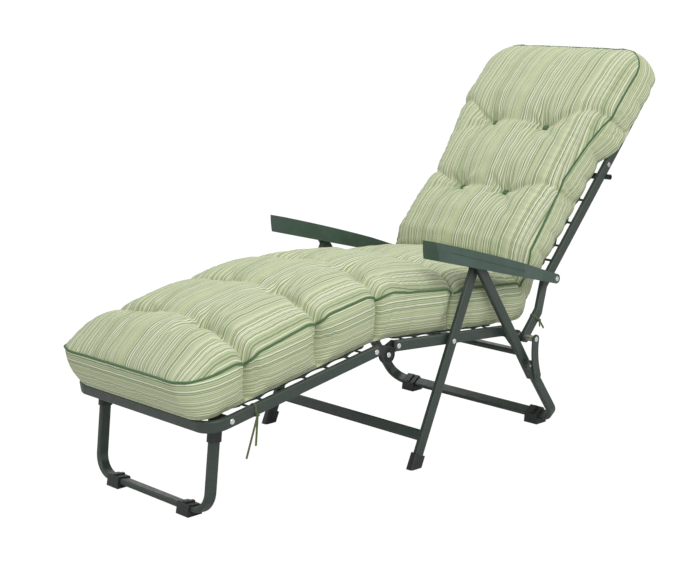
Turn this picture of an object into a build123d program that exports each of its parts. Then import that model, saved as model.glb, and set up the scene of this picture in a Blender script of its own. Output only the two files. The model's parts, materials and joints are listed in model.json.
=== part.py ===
# Folding sun lounger: flat steel tube frame, moulded armrests, canvas slings and a tufted cushion.
# Millimetres. +Z up, +X towards the head end, left is -Y.
# A place in the side view is (x, z), with x measured from the front feet; middle_x moves x to the origin.
# Pieces that come in pairs are modelled on the right and mirrored.

import os
from math import atan2, cos, degrees, hypot, radians, sin, tan

from build123d import *

# Stance
middle_x = 161.8

# Flat tube of the whole frame
tube_width = 30.0
tube_thick = 15.0
tube_corner = 4.5
tube_wall = 1.2

# Layers across the width, from the seat rails outwards
frame_half_width = 283.0
leg_gap = 1.5
strut_gap = 0.5
bow_gap = 0.5
link_gap = 0.5
link_thick = 4.0

# Pivots in the side view
leg_pivot = (139.0, 325.0)
arm_pin = (227.0, 521.0)
hip = (448.0, 284.0)
link_pin = (460.0, 176.0)
arm_hinge = (567.0, 438.0)
knee = (-97.0, 326.0)
foot_hinge = (-627.0, 258.0)

# Pins and rivets
pin_radius = 4.0
pin_play = 0.05
head_radius = 7.0
head_height = 1.4
head_bevel = 0.7
washer_radius = 9.0
seat_play = 0.1
overrun = 1.0

# Seat frame
seat_rivet = (-59.0, 343.6)
rail_fall = 4.2
rail_bend = 85.0
rail_drop_x = 438.0
rear_tube_z = 240.0
hip_plate_thick = 3.5
hip_plate_radius = 16.0
hip_plate_weld_radius = 10.0
hip_plate_turns = (24.0, 62.0)
bush_radius = 9.0

# Knee joint halves
hub_radius = 23.0
hub_gap = 0.5
hub_neck_gap = 2.0
hub_block = 8.0
hub_rim = 3.0
hub_boss_radius = 8.0
hub_recess = 1.6
hub_rib_count = 12
hub_rib_width = 2.0
tang_length = 36.0
tang_root = 1.5
tang_play = 0.15
rivet_to_end = 11.0

# Footrest frame
foot_rivet = (-141.0, 341.0)
front_reach = 60.0
footrest_bend = 48.0

# Foot leg
foot_leg_half_width = 229.0
foot_leg_lean = 6.2
foot_leg_bend = 54.0
foot_tube_z = 18.0
foot_leg_top = 22.0
socket_top = 18.0
socket_wall = 3.5
socket_length = 44.0
socket_radius = 11.0

# Front legs
crossbar_z = 81.0
leg_end_z = 8.0
boot_height = 46.0
boot_wall = 5.0
boot_play = 0.1
boot_edge = 3.0

# Rear leg
bow_top = (431.5, 210.0)
bow_foot = (562.6, 28.2)
bow_bend = 46.0

# Clips under the cross tubes
clip_width = 46.0
clip_wall = 4.0
clip_foot = 42.0
clip_tab_width = 10.0
clip_tab_height = 4.0
rear_clip_y = 248.0
foot_clip_y = 144.0

# Link bars
link_width = 27.0
link_sweep = 7.0

# Backrest
back_base = (583.0, 458.0)
back_angle = 48.1
back_top = 690.0
back_bend = 60.0
joggle_high_z = 420.0
joggle_low_z = 350.0
brace_along = 352.0
back_rivet_along = 380.0
brace_radius = 8.0
brace_wall = 1.2
brace_stub = 8.0

# Armrests
arm_middle_y = 300.0
arm_half_width = 29.0
arm_wall = 4.0
arm_front_top = (34.0, 611.0)
arm_front_low = (44.0, 560.0)
arm_crown = 5.0
arm_end_radius = 14.0
arm_end_thick = 10.5
arm_taper_front = 395.0
arm_taper_rear = 500.0
arm_front_round = 16.0
arm_edge = 3.0
arm_core_rear = 385.0
groove_depth = 1.2
groove_height = 2.0
groove_drop = 17.0
groove_front = 60.0
groove_rear = 400.0

# Rack inside each armrest, over the pin of the front leg
rack_thick = 6.0
rack_height = 20.0
rack_gap = 4.0
rack_notches = 9
rack_pitch = 13.0
rack_notch_radius = 5.0
rack_margin = 14.0
rack_side_play = 0.5

# Canvas slings, each along its rails from a front to a rear distance
sling_gap = 15.0
sling_thick = 2.0
sling_level = 12.0
scallop_depth = 9.0
elastic_width = 6.0
elastic_thick = 3.0
elastic_overlap = 8.0
elastic_inset = 30.0
footrest_sling_span = (36.0, 484.0)
seat_sling_span = (10.0, 410.0)
back_sling_front = -6.0
back_sling_margin = 40.0
footrest_scallops = 6
seat_scallops = 5
back_scallops = 8

# Cushion
pad_level = 15.8
pad_gap = 0.8
pad_half_width = 273.0
pad_swell = 4.0
arm_pad_gap = 1.5
seam_level = 128.0
crown_level = 190.0
channel_depth = 12.0
low_seam = 95.0
low_crown = 105.0
tuft_level = 158.0
tuft_radius = 60.0
foot_pad_front = 100.0
foot_pad_swell = -20.0
foot_channel_front = 100.0
foot_channel_rear = 320.0
foot_pad_rear = 560.0
knee_pad_reach = 25.0
foot_tufts = ((foot_channel_front, 88.0), (foot_channel_rear, 88.0))
seat_channel = 230.0
seat_pad_rear = 568.0
seat_rear_seam = 116.0
seat_rear_crown = 176.0
seat_tufts = ((seat_channel, 88.0),)
back_pad_low = -95.0
back_pad_high = 742.0
back_half_low = 268.0
back_half_middle = 262.0
back_half_high = 288.0
back_half_top = 282.0
back_seam = 92.0
back_low_seam = 80.0
back_low_crown = 122.0
back_crown = 165.0
top_crown = 110.0
back_tufts = ((174.0, 81.0), (408.0, 97.0))
button_level = 100.0
button_radius = 9.0
button_height = 6.0
button_edge = 2.5
button_rest = 0.3

# Ties: tapes knotted round the tubes, each tail with its angle and its length
tie_width = 6.0
tie_thick = 1.0
tie_gap = 0.3
knot_length = 9.0
knot_depth = 5.0
knot_height = 8.0
knot_round = 2.5
front_tie_along = 75.0
front_tails = ((-110.0, 108.0), (-95.0, 76.0))
rear_tie_along = 66.0
rear_tails = ((-52.0, 33.0), (-84.0, 19.0))

end_strap_shares = (-0.5, 0.0, 0.5)
pad_base_share = 0.95
pad_seam_share = 0.985

# Layers worked out from the sizes above
rail_out = frame_half_width
rail_in = rail_out - tube_thick
leg_in = rail_out + leg_gap
leg_out = leg_in + tube_thick
strut_in = leg_out + strut_gap
strut_out = strut_in + tube_thick
bow_in = strut_out + bow_gap
bow_out = bow_in + tube_thick
link_in = bow_out + link_gap
link_out = link_in + link_thick
half_width = tube_width / 2
half_thick = tube_thick / 2
rail_y = rail_out - half_thick
sling_half_width = rail_in - sling_gap
back_sling_span = (back_sling_front, back_top - back_sling_margin)
bow_y = bow_out - half_thick
seat_pad_half = arm_middle_y - arm_half_width - arm_pad_gap
inner_width = tube_width - 2 * tube_wall
inner_thick = tube_thick - 2 * tube_wall
inner_corner = tube_corner - tube_wall
bore = pin_radius + pin_play


def at(point, y=0.0):
    """A side-view place (x, z) at y across the lounger."""
    return Vector(point[0] - middle_x, y, point[1])


def heading(start, end):
    """Degrees from +X up towards +Z."""
    return degrees(atan2(end[1] - start[1], end[0] - start[0]))


def distance(start, end):
    return hypot(end[0] - start[0], end[1] - start[1])


def step(point, angle, along, up=0.0):
    """Goes from a side-view place along an angle, and up square to it."""
    a = radians(angle)
    return (point[0] + along * cos(a) - up * sin(a), point[1] + along * sin(a) + up * cos(a))


def side_plane(y, point=(0.0, 0.0), angle=0.0):
    """Local x runs along the angle, local y up, and it extrudes towards -Y."""
    a = radians(angle)
    return Plane(origin=at(point, y), x_dir=(cos(a), 0, sin(a)), z_dir=(0, -1, 0))


def cross_plane(point, angle, y=0.0):
    """Square to an angle of the side view: local x runs across, local y up."""
    a = radians(angle)
    return Plane(origin=at(point, y), x_dir=(0, 1, 0), z_dir=(cos(a), 0, sin(a)))


def lying_plane(point, angle):
    """Local x runs along the angle, local y towards +Y, and it extrudes up."""
    a = radians(angle)
    return Plane(origin=at(point), x_dir=(cos(a), 0, sin(a)), z_dir=(-sin(a), 0, cos(a)))


def pin_plane(point, y):
    """Square to +Y, so that it extrudes outwards."""
    return Plane(origin=at(point, y), x_dir=(1, 0, 0), z_dir=(0, 1, 0))


def save(part, name):
    part.label = name
    export_step(part, "parts/" + name + ".step")


def save_pair(part, name):
    """The piece on the right, and its mirror image on the left."""
    save(part, name + "_right")
    with BuildPart() as other:
        mirror(part, about=Plane.XZ)
    save(other.part, name + "_left")


def save_both(part, name):
    """The right and the left one as two solids of one node."""
    with BuildPart() as both:
        add(part)
        mirror(part, about=Plane.XZ)
    save(both.part, name)


def flat_bar(start, end, near, far, holes, open_start=False):
    """A flat tube in one layer, with pressed round ends about both places, or left open at its start."""
    angle = heading(start, end)
    length = distance(start, end)
    lead = 0.0 if open_start else half_width
    middle_y = (near + far) / 2
    with BuildPart() as bar:
        with BuildSketch(cross_plane(step(start, angle, -lead), angle, middle_y)):
            RectangleRounded(tube_thick, tube_width, tube_corner)
        extrude(amount=length + lead + half_width)
        with BuildSketch(cross_plane(start, angle, middle_y)):
            RectangleRounded(inner_thick, inner_width, inner_corner)
        extrude(amount=length, mode=Mode.SUBTRACT)
        with BuildSketch(side_plane(far, start, angle)):
            with Locations((length / 2 - half_width + lead / 2, 0)):
                SlotCenterToCenter(length + tube_width - lead, tube_width)
        extrude(amount=far - near, mode=Mode.INTERSECT)
        with BuildSketch(side_plane(far)):
            with Locations(*holes):
                Circle(bore)
        extrude(amount=far - near, mode=Mode.SUBTRACT)
    return bar.part


def bent_tube(plane, points, bend, start_plane):
    """A flat tube along straight runs with equal bends, its section set on the start plane."""
    with BuildPart() as tube:
        with BuildLine(plane) as path:
            FilletPolyline(*points, radius=bend)
        with BuildSketch(start_plane):
            RectangleRounded(tube_thick, tube_width, tube_corner)
            RectangleRounded(inner_thick, inner_width, inner_corner, mode=Mode.SUBTRACT)
        sweep(path=path.line)
    return tube.part


def rivet(point, near, far, collars=(), head=True):
    """A shank between two distances from the middle, with an outer domed head and any collars."""
    with BuildPart() as pin:
        with BuildSketch(pin_plane(point, near)):
            Circle(pin_radius)
        extrude(amount=far - near)
        if head:
            with BuildSketch(pin_plane(point, far)):
                Circle(head_radius)
            extrude(amount=head_height)
            chamfer(pin.edges().group_by(Axis.Y)[-1], head_bevel)
        for collar_near, collar_far, radius in collars:
            with BuildSketch(pin_plane(point, collar_near)):
                Circle(radius)
            extrude(amount=collar_far - collar_near)
    return pin.part


os.makedirs("parts", exist_ok=True)

leg_angle = heading(leg_pivot, arm_pin)
footrest_angle = heading(foot_hinge, foot_rivet)
foot_leg_angle = -90.0 - foot_leg_lean
bow_angle = heading(bow_top, bow_foot)
arm_angle = heading(arm_pin, arm_hinge)

# Seat rails: straight from the knee, then turned down behind the hip
rail_start = step(seat_rivet, -rail_fall, -rivet_to_end)
rail_corner = (rail_drop_x, seat_rivet[1] - (rail_drop_x - seat_rivet[0]) * tan(radians(rail_fall)))
bend_run = rail_bend * tan(radians((90.0 - rail_fall) / 2))
bend_centre = (rail_drop_x - rail_bend, rail_corner[1] - bend_run)
rail_end = (rail_drop_x, bend_centre[1] - tube_thick)
with BuildPart() as seat_rail:
    with BuildLine(side_plane(rail_y)) as rail_path:
        FilletPolyline(rail_start, rail_corner, rail_end, radius=rail_bend)
    with BuildSketch(cross_plane(rail_start, -rail_fall, rail_y)):
        RectangleRounded(tube_thick, tube_width, tube_corner)
        RectangleRounded(inner_thick, inner_width, inner_corner, mode=Mode.SUBTRACT)
    sweep(path=rail_path.line)
    split(bisect_by=Plane.XY.offset(rear_tube_z + half_thick), keep=Keep.TOP)
    with BuildSketch(side_plane(rail_out)):
        with Locations(leg_pivot, seat_rivet):
            Circle(bore)
    extrude(amount=tube_thick, mode=Mode.SUBTRACT)
save_pair(seat_rail.part, "seat_rail")

# Rear tube of the seat frame, lying under the cut ends of the rails, with welded ends
with BuildPart() as seat_rear_tube:
    with BuildSketch(pin_plane((rail_drop_x, rear_tube_z), -rail_out)):
        RectangleRounded(tube_width, tube_thick, tube_corner)
    extrude(amount=2 * rail_out)
    with BuildSketch(pin_plane((rail_drop_x, rear_tube_z), tube_wall - rail_out)):
        RectangleRounded(inner_width, inner_thick, inner_corner)
    extrude(amount=2 * (rail_out - tube_wall), mode=Mode.SUBTRACT)
save(seat_rear_tube.part, "seat_rear_tube")

# Hip plates, welded to the inner faces of the rails, which carry the axle behind the bend
with BuildPart() as hip_plate:
    with BuildSketch(side_plane(rail_in)):
        with BuildSketch(side_plane(rail_in), mode=Mode.PRIVATE) as plate_outline:
            with Locations(hip):
                Circle(hip_plate_radius)
            for turn in hip_plate_turns:
                with Locations(step(bend_centre, turn, rail_bend)):
                    Circle(hip_plate_weld_radius)
        make_hull(plate_outline.sketch_local.edges())
        with Locations(hip):
            Circle(bore, mode=Mode.SUBTRACT)
    extrude(amount=hip_plate_thick)
save_pair(hip_plate.part, "hip_plate")

# Hip axle with its bushes, on which the backrest and the link turn
inner_bush = (rail_in, leg_in - seat_play, bush_radius)
outer_bush = (leg_out + seat_play, link_in - seat_play, bush_radius)
save_both(
    rivet(hip, rail_in - hip_plate_thick - overrun, link_out + seat_play, collars=(inner_bush, outer_bush)),
    "hip_axles",
)

# Rivets of the seat frame: the leg pivots with their washers, and the knee joint's rear rivets
with BuildPart() as seat_rivets:
    leg_spacer = (rail_out, leg_in - seat_play, washer_radius)
    add(rivet(leg_pivot, rail_in, leg_out + seat_play, collars=(leg_spacer,)))
    add(rivet(seat_rivet, rail_in, rail_out))
save_both(seat_rivets.part, "seat_rivets")

# Knee joint: two ribbed discs side by side, each with a neck and a tang in the end of its rail
hub_thick = (tube_thick - hub_gap) / 2


def knee_half(rivet_place, angle, outward, near, ribbed):
    """One half of the knee joint. The rail leaves the rivet at the angle, outward is -1 or 1 along it."""
    rail_tip = step(rivet_place, angle, -outward * rivet_to_end)
    with BuildPart() as half:
        with BuildSketch(side_plane(near + hub_thick)):
            with BuildSketch(side_plane(near + hub_thick), mode=Mode.PRIVATE) as hub_outline:
                with Locations(knee):
                    Circle(hub_radius)
                for up in (-half_width + tube_corner, half_width - tube_corner):
                    with Locations(step(rail_tip, angle, -outward * tube_corner, up)):
                        Circle(tube_corner)
            make_hull(hub_outline.sketch_local.edges())
        extrude(amount=hub_thick)
        with BuildSketch(side_plane(rail_out)):
            with Locations(step(rail_tip, angle, -outward * hub_block / 2)):
                Rectangle(hub_block, tube_width, rotation=angle)
            with Locations(knee):
                Circle(hub_radius + hub_neck_gap, mode=Mode.SUBTRACT)
        extrude(amount=tube_thick)
        with BuildSketch(cross_plane(step(rail_tip, angle, -outward * tang_root), angle, rail_y)):
            RectangleRounded(inner_thick - 2 * tang_play, inner_width - 2 * tang_play, inner_corner)
        extrude(amount=outward * (tang_length + tang_root))
        if ribbed:
            with BuildSketch(side_plane(near + hub_thick)):
                with Locations(knee):
                    Circle(hub_radius - hub_rim)
                    Circle(hub_boss_radius, mode=Mode.SUBTRACT)
                    with PolarLocations((hub_radius - hub_rim + hub_boss_radius) / 2, hub_rib_count):
                        Rectangle(hub_radius, hub_rib_width, mode=Mode.SUBTRACT)
            extrude(amount=hub_recess, mode=Mode.SUBTRACT)
        with BuildSketch(side_plane(rail_out)):
            with Locations(knee, rivet_place):
                Circle(bore)
        extrude(amount=tube_thick, mode=Mode.SUBTRACT)
    return half.part


save_pair(knee_half(foot_rivet, footrest_angle, -1, rail_out - hub_thick, True), "knee_hub_front")
save_pair(knee_half(seat_rivet, -rail_fall, 1, rail_in, False), "knee_hub_rear")

# Footrest frame: one tube bent round the front
rail_run = distance(foot_hinge, foot_rivet) + rivet_to_end
footrest_points = [(rail_run, -rail_y), (-front_reach, -rail_y), (-front_reach, rail_y), (rail_run, rail_y)]
footrest_start = cross_plane(step(foot_hinge, footrest_angle, rail_run), footrest_angle + 180.0, -rail_y)
with BuildPart() as footrest_frame:
    add(bent_tube(lying_plane(foot_hinge, footrest_angle), footrest_points, footrest_bend, footrest_start))
    with BuildSketch(side_plane(rail_out + overrun)):
        with Locations(foot_hinge, foot_rivet):
            Circle(bore)
    extrude(amount=2 * (rail_out + overrun), mode=Mode.SUBTRACT)
save(footrest_frame.part, "footrest_frame")

# Rivets and pins of the footrest: through the knee, the tangs, and the foot leg's sockets
foot_leg_out = foot_leg_half_width
foot_leg_in = foot_leg_out - tube_thick
with BuildPart() as footrest_rivets:
    add(rivet(knee, rail_in, rail_out))
    add(rivet(foot_rivet, rail_in, rail_out))
    add(rivet(foot_hinge, foot_leg_in, rail_out))
save_both(footrest_rivets.part, "footrest_rivets")

# Foot leg: one tube bent round the floor end, hung from moulded sockets
foot_leg_y = foot_leg_out - half_thick
leg_run = (foot_hinge[1] - foot_tube_z) / cos(radians(foot_leg_lean))
leg_points = [
    (foot_leg_top, -foot_leg_y),
    (leg_run, -foot_leg_y),
    (leg_run, foot_leg_y),
    (foot_leg_top, foot_leg_y),
]
leg_start = cross_plane(step(foot_hinge, foot_leg_angle, foot_leg_top), foot_leg_angle, -foot_leg_y)
save(
    bent_tube(lying_plane(foot_hinge, foot_leg_angle), leg_points, foot_leg_bend, leg_start),
    "foot_leg_frame",
)

socket_middle = step(foot_hinge, foot_leg_angle, socket_top + socket_length / 2)
with BuildPart() as foot_socket:
    with BuildSketch(
        cross_plane(step(foot_hinge, foot_leg_angle, -socket_radius), foot_leg_angle, foot_leg_y)
    ):
        RectangleRounded(
            tube_thick + 2 * socket_wall,
            tube_width + 2 * socket_wall,
            tube_corner + socket_wall,
        )
    extrude(amount=socket_radius + socket_top + socket_length)
    with BuildSketch(side_plane(foot_leg_out + socket_wall)):
        with BuildSketch(side_plane(foot_leg_out + socket_wall), mode=Mode.PRIVATE) as socket_outline:
            with Locations(foot_hinge):
                Circle(socket_radius)
            with Locations(socket_middle):
                Rectangle(tube_width + 2 * socket_wall, socket_length, rotation=-foot_leg_lean)
        make_hull(socket_outline.sketch_local.edges())
    extrude(amount=tube_thick + 2 * socket_wall, mode=Mode.INTERSECT)
    with BuildSketch(pin_plane(foot_hinge, foot_leg_in - socket_wall)):
        Circle(socket_radius)
    extrude(amount=rail_in - seat_play - foot_leg_in + socket_wall)
    with BuildSketch(cross_plane(step(foot_hinge, foot_leg_angle, foot_leg_top), foot_leg_angle, foot_leg_y)):
        RectangleRounded(tube_thick, tube_width, tube_corner)
    extrude(amount=socket_length + tube_width, mode=Mode.SUBTRACT)
    with BuildSketch(pin_plane(foot_hinge, foot_leg_in - socket_wall - overrun)):
        Circle(bore)
    extrude(amount=tube_width + tube_thick + rail_in, mode=Mode.SUBTRACT)
save_pair(foot_socket.part, "foot_socket")


def floor_clip(middle, y, angle):
    """A moulded foot round a cross tube: middle is the tube's, angle runs through its thickness."""
    with BuildPart() as clip:
        with BuildSketch(side_plane(y + clip_width / 2)):
            with BuildSketch(side_plane(y), mode=Mode.PRIVATE) as clip_outline:
                for across in (-half_width, half_width):
                    for through in (-half_thick, half_thick):
                        with Locations(step(middle, angle, through, across)):
                            Circle(clip_wall)
                for along in (-clip_foot / 2, clip_foot / 2):
                    with Locations((middle[0] + along, clip_wall / 2)):
                        Circle(clip_wall / 2)
            make_hull(clip_outline.sketch_local.edges())
            with Locations(middle):
                RectangleRounded(tube_thick, tube_width, tube_corner, rotation=angle, mode=Mode.SUBTRACT)
        extrude(amount=clip_width)
        tab_low = step(middle, angle, -half_thick - clip_wall - clip_tab_height)
        with BuildSketch(cross_plane(tab_low, angle, y)):
            Rectangle(clip_tab_width, tube_width)
        extrude(amount=clip_tab_height + clip_wall)
    return clip.part


save_pair(floor_clip(step(foot_hinge, foot_leg_angle, leg_run), foot_clip_y, foot_leg_angle), "foot_clip")

# Front legs, their crossbar, boots and the pins that the racks rest on
leg_foot = step(leg_pivot, leg_angle, (leg_end_z - leg_pivot[1]) / sin(radians(leg_angle)))
save_pair(flat_bar(leg_foot, arm_pin, leg_in, leg_out, [leg_pivot, arm_pin], open_start=True), "front_leg")

crossbar_place = step(leg_pivot, leg_angle, (crossbar_z - leg_pivot[1]) / sin(radians(leg_angle)))
leg_run_dir = (cos(radians(leg_angle)), 0, sin(radians(leg_angle)))
with BuildPart() as front_crossbar:
    with BuildSketch(Plane(origin=at(crossbar_place, -leg_in), x_dir=leg_run_dir, z_dir=(0, 1, 0))):
        RectangleRounded(tube_width, tube_thick, tube_corner)
        RectangleRounded(inner_width, inner_thick, inner_corner, mode=Mode.SUBTRACT)
    extrude(amount=2 * leg_in)
save(front_crossbar.part, "front_crossbar")

leg_y = (leg_in + leg_out) / 2
boot_base = step(leg_foot, leg_angle, -2 * half_width)
with BuildPart() as front_boot:
    with BuildSketch(cross_plane(boot_base, leg_angle, leg_y)):
        RectangleRounded(tube_thick + 2 * boot_wall, tube_width + 2 * boot_wall, tube_corner + boot_edge)
    extrude(amount=boot_height + half_width)
    chamfer(front_boot.faces().sort_by(Axis(at(leg_foot, leg_y), leg_run_dir))[-1].edges(), boot_edge / 2)
    split(bisect_by=Plane.XY, keep=Keep.TOP)
    with BuildSketch(cross_plane(leg_foot, leg_angle, leg_y)):
        RectangleRounded(tube_thick + 2 * boot_play, tube_width + 2 * boot_play, tube_corner)
    extrude(amount=boot_height + tube_width, mode=Mode.SUBTRACT)
save_pair(front_boot.part, "front_boot")

rack_y = arm_middle_y - arm_half_width + arm_wall
pin_collar = (leg_in - leg_gap + seat_play, leg_in, head_radius)
save_both(rivet(arm_pin, rack_y + rack_side_play, strut_out + seat_play, collars=(pin_collar,)), "rack_pins")

# Rear leg: two struts riveted to a bow that stands on the floor
save_pair(flat_bar(arm_pin, link_pin, strut_in, strut_out, [arm_pin, bow_top, link_pin]), "rear_strut")

bow_run = distance(bow_top, bow_foot)
bow_points = [(-bow_run, -bow_y), (0, -bow_y), (0, bow_y), (-bow_run, bow_y)]
bow_start = cross_plane(bow_top, bow_angle, -bow_y)
with BuildPart() as rear_bow:
    add(bent_tube(lying_plane(bow_foot, bow_angle), bow_points, bow_bend, bow_start))
    for y in (bow_out, -bow_in):
        with BuildSketch(side_plane(y)):
            with Locations(bow_top):
                Circle(half_width)
        extrude(amount=tube_thick)
    with BuildSketch(side_plane(bow_out)):
        with Locations(bow_top, link_pin):
            Circle(bore)
    extrude(amount=2 * bow_out, mode=Mode.SUBTRACT)
save(rear_bow.part, "rear_bow")

with BuildPart() as rear_rivets:
    for place in (bow_top, link_pin):
        with BuildSketch(pin_plane(place, strut_in - head_height)):
            Circle(head_radius)
        extrude(amount=head_height)
        add(rivet(place, strut_in, bow_out, head=False))
save_both(rear_rivets.part, "rear_rivets")
save_pair(floor_clip(bow_foot, rear_clip_y, bow_angle), "rear_clip")

# Curved link from the hip axle to the rear leg, with the head of its own stud
link_middle = step(hip, heading(hip, link_pin), distance(hip, link_pin) / 2, -link_sweep)
link_arc = ThreePointArc(hip, link_middle, link_pin)
with BuildPart() as link:
    with BuildSketch(side_plane(link_out)):
        SlotArc(link_arc, link_width)
        with Locations(hip):
            Circle(bore, mode=Mode.SUBTRACT)
    extrude(amount=link_thick)
    with BuildSketch(pin_plane(link_pin, link_out)):
        Circle(head_radius)
    extrude(amount=head_height)
    chamfer(link.edges().group_by(Axis.Y)[-1], head_bevel)
save_pair(link.part, "link")

# Backrest: a bent tube, with lower ends that step outwards and back to reach the hip axle
back_run = back_top - half_thick
back_start_along = (joggle_high_z - back_base[1]) / sin(radians(back_angle))
back_points = [
    (back_start_along, -rail_y),
    (back_run, -rail_y),
    (back_run, rail_y),
    (back_start_along, rail_y),
]
back_start = step(back_base, back_angle, back_start_along)
back_rivet = step(back_base, back_angle, back_rivet_along)
with BuildPart() as back_frame:
    add(
        bent_tube(
            lying_plane(back_base, back_angle),
            back_points,
            back_bend,
            cross_plane(back_start, back_angle, -rail_y),
        )
    )
    with BuildSketch(side_plane(rail_out + overrun)):
        with Locations(arm_hinge, back_rivet):
            Circle(bore)
    extrude(amount=2 * (rail_out + overrun), mode=Mode.SUBTRACT)
save(back_frame.part, "back_frame")

joggle_low = step(hip, back_angle, (joggle_low_z - hip[1]) / sin(radians(back_angle)))
joggle_places = ((hip, leg_y), (joggle_low, leg_y), (back_start, rail_y))
with BuildPart() as back_lower:
    for place, y in joggle_places:
        with BuildSketch(cross_plane(place, back_angle, y)):
            RectangleRounded(tube_thick, tube_width, tube_corner)
    loft(ruled=True)
    for place, y in joggle_places:
        with BuildSketch(cross_plane(place, back_angle, y)):
            RectangleRounded(inner_thick, inner_width, inner_corner)
    loft(ruled=True, mode=Mode.SUBTRACT)
    with BuildSketch(side_plane(leg_out)):
        with Locations(hip):
            Circle(half_width)
    extrude(amount=tube_thick)
    with BuildSketch(side_plane(leg_out)):
        with Locations(hip):
            Circle(bore)
    extrude(amount=tube_thick, mode=Mode.SUBTRACT)
save_pair(back_lower.part, "back_lower")

brace_place = step(back_base, back_angle, brace_along, -half_width - brace_radius)
brace_end = rail_out + brace_stub
with BuildPart() as back_brace:
    with BuildSketch(pin_plane(brace_place, -brace_end)):
        Circle(brace_radius)
        Circle(brace_radius - brace_wall, mode=Mode.SUBTRACT)
    extrude(amount=2 * brace_end)
save(back_brace.part, "back_brace")

arm_layer_in = arm_middle_y
arm_layer_out = arm_layer_in + arm_end_thick
with BuildPart() as back_rivets:
    arm_spacer = (rail_out, arm_layer_in - seat_play, washer_radius)
    add(rivet(arm_hinge, rail_in, arm_layer_out + seat_play, collars=(arm_spacer,)))
    add(rivet(back_rivet, rail_in, rail_out))
save_both(back_rivets.part, "back_rivets")

# Armrests: hollow mouldings, open below, wide at the front and tapered to the hinge
arm_line = heading(arm_front_low, step(arm_hinge, arm_angle, 0.0, -arm_end_radius))
arm_top_end = step(arm_hinge, arm_line, 0.0, arm_end_radius)
arm_low_end = step(arm_hinge, arm_line, 0.0, -arm_end_radius)
arm_rear_end = step(arm_hinge, arm_line, arm_end_radius)
arm_top_line = heading(arm_front_top, arm_top_end)
arm_top_middle = step(arm_front_top, arm_top_line, distance(arm_front_top, arm_top_end) / 2, arm_crown)
arm_outer_y = arm_middle_y + arm_half_width
arm_inner_y = arm_middle_y - arm_half_width
arm_plan = [
    (arm_front_top[0] - arm_edge, arm_inner_y),
    (arm_taper_front, arm_inner_y),
    (arm_taper_rear, arm_layer_in),
    (arm_rear_end[0] + arm_edge, arm_layer_in),
    (arm_rear_end[0] + arm_edge, arm_layer_out),
    (arm_taper_rear, arm_layer_out),
    (arm_taper_front, arm_outer_y),
    (arm_front_top[0] - arm_edge, arm_outer_y),
]


def arm_side(lower, far):
    """The armrest's side outline, or only the space under its top when lowered by the wall."""
    with BuildSketch(side_plane(far)) as outline:
        with BuildLine():
            ThreePointArc(
                (arm_front_top[0], arm_front_top[1] - lower),
                (arm_top_middle[0], arm_top_middle[1] - lower),
                (arm_top_end[0], arm_top_end[1] - lower),
            )
            if lower:
                Polyline(
                    (arm_top_end[0], arm_top_end[1] - lower),
                    (arm_top_end[0], arm_low_end[1] - tube_width),
                    (arm_front_low[0], arm_low_end[1] - tube_width),
                    (arm_front_top[0], arm_front_top[1] - lower),
                )
            else:
                ThreePointArc(arm_top_end, arm_rear_end, arm_low_end)
                Line(arm_low_end, arm_front_low)
                Line(arm_front_low, arm_front_top)
        make_face()
    return outline.sketch


def arm_body(lower, shrink):
    """The armrest's solid, or the hollow in it when shrunk by the wall."""
    far = arm_outer_y
    with BuildPart() as body:
        extrude(arm_side(lower, far), amount=2 * arm_half_width, dir=(0, -1, 0))
        with BuildSketch(Plane(origin=at((0.0, 0.0)))) as plan:
            if shrink:
                front = arm_front_low[0] + shrink
                with Locations(((front + arm_core_rear) / 2, arm_middle_y)):
                    RectangleRounded(
                        arm_core_rear - front,
                        2 * (arm_half_width - shrink),
                        arm_front_round - shrink,
                    )
            else:
                Polygon(*arm_plan, align=None)
                front_corners = plan.vertices().group_by(Axis.X)[0]
                fillet(front_corners, arm_front_round)
        extrude(amount=2 * arm_front_top[1], mode=Mode.INTERSECT)
    return body.part


with BuildPart() as armrest:
    add(arm_body(0.0, 0.0))
    add(arm_body(arm_wall, arm_wall), mode=Mode.SUBTRACT)
    groove_start = step(arm_front_top, arm_top_line, groove_front, -groove_drop)
    groove_length = groove_rear - groove_front
    groove_middle = step(groove_start, arm_top_line, groove_length / 2)
    with BuildSketch(side_plane(arm_outer_y)):
        with Locations(groove_middle):
            SlotOverall(groove_length, groove_height, rotation=arm_top_line)
    extrude(amount=groove_depth, mode=Mode.SUBTRACT)
    with BuildSketch(pin_plane(arm_hinge, arm_layer_in)):
        Circle(bore)
    extrude(amount=arm_end_thick, mode=Mode.SUBTRACT)
save_pair(armrest.part, "armrest")

# Notched rack on the inner wall of each armrest
rack_tip = pin_radius + rack_gap
rack_rear = rack_margin
rack_front = -rack_pitch * (rack_notches - 1) - rack_margin
with BuildPart() as arm_rack:
    with BuildSketch(side_plane(rack_y + rack_thick, arm_pin, arm_angle)):
        with Locations(((rack_front + rack_rear) / 2, rack_tip + rack_height / 2)):
            RectangleRounded(rack_rear - rack_front, rack_height, rack_gap / 2)
        for notch in range(rack_notches):
            with Locations((-rack_pitch * notch, rack_tip)):
                Circle(rack_notch_radius, mode=Mode.SUBTRACT)
    extrude(amount=rack_thick)
save_pair(arm_rack.part, "arm_rack")


def scalloped_sling(place, angle, span, count):
    """A canvas along a plane at the angle, drawn in between its elastics on both sides."""
    front, rear = span
    pitch = (rear - front) / count
    waist = sling_half_width - scallop_depth
    with BuildPart() as sling:
        with BuildSketch(lying_plane(place, angle).offset(sling_level)):
            with BuildLine():
                for side in (-1, 1):
                    for number in range(count):
                        near = front + pitch * number
                        ThreePointArc(
                            (near, side * sling_half_width),
                            (near + pitch / 2, side * waist),
                            (near + pitch, side * sling_half_width),
                        )
                Line((front, -sling_half_width), (front, sling_half_width))
                Line((rear, -sling_half_width), (rear, sling_half_width))
            make_face()
        extrude(amount=sling_thick)
    return sling.part


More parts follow.
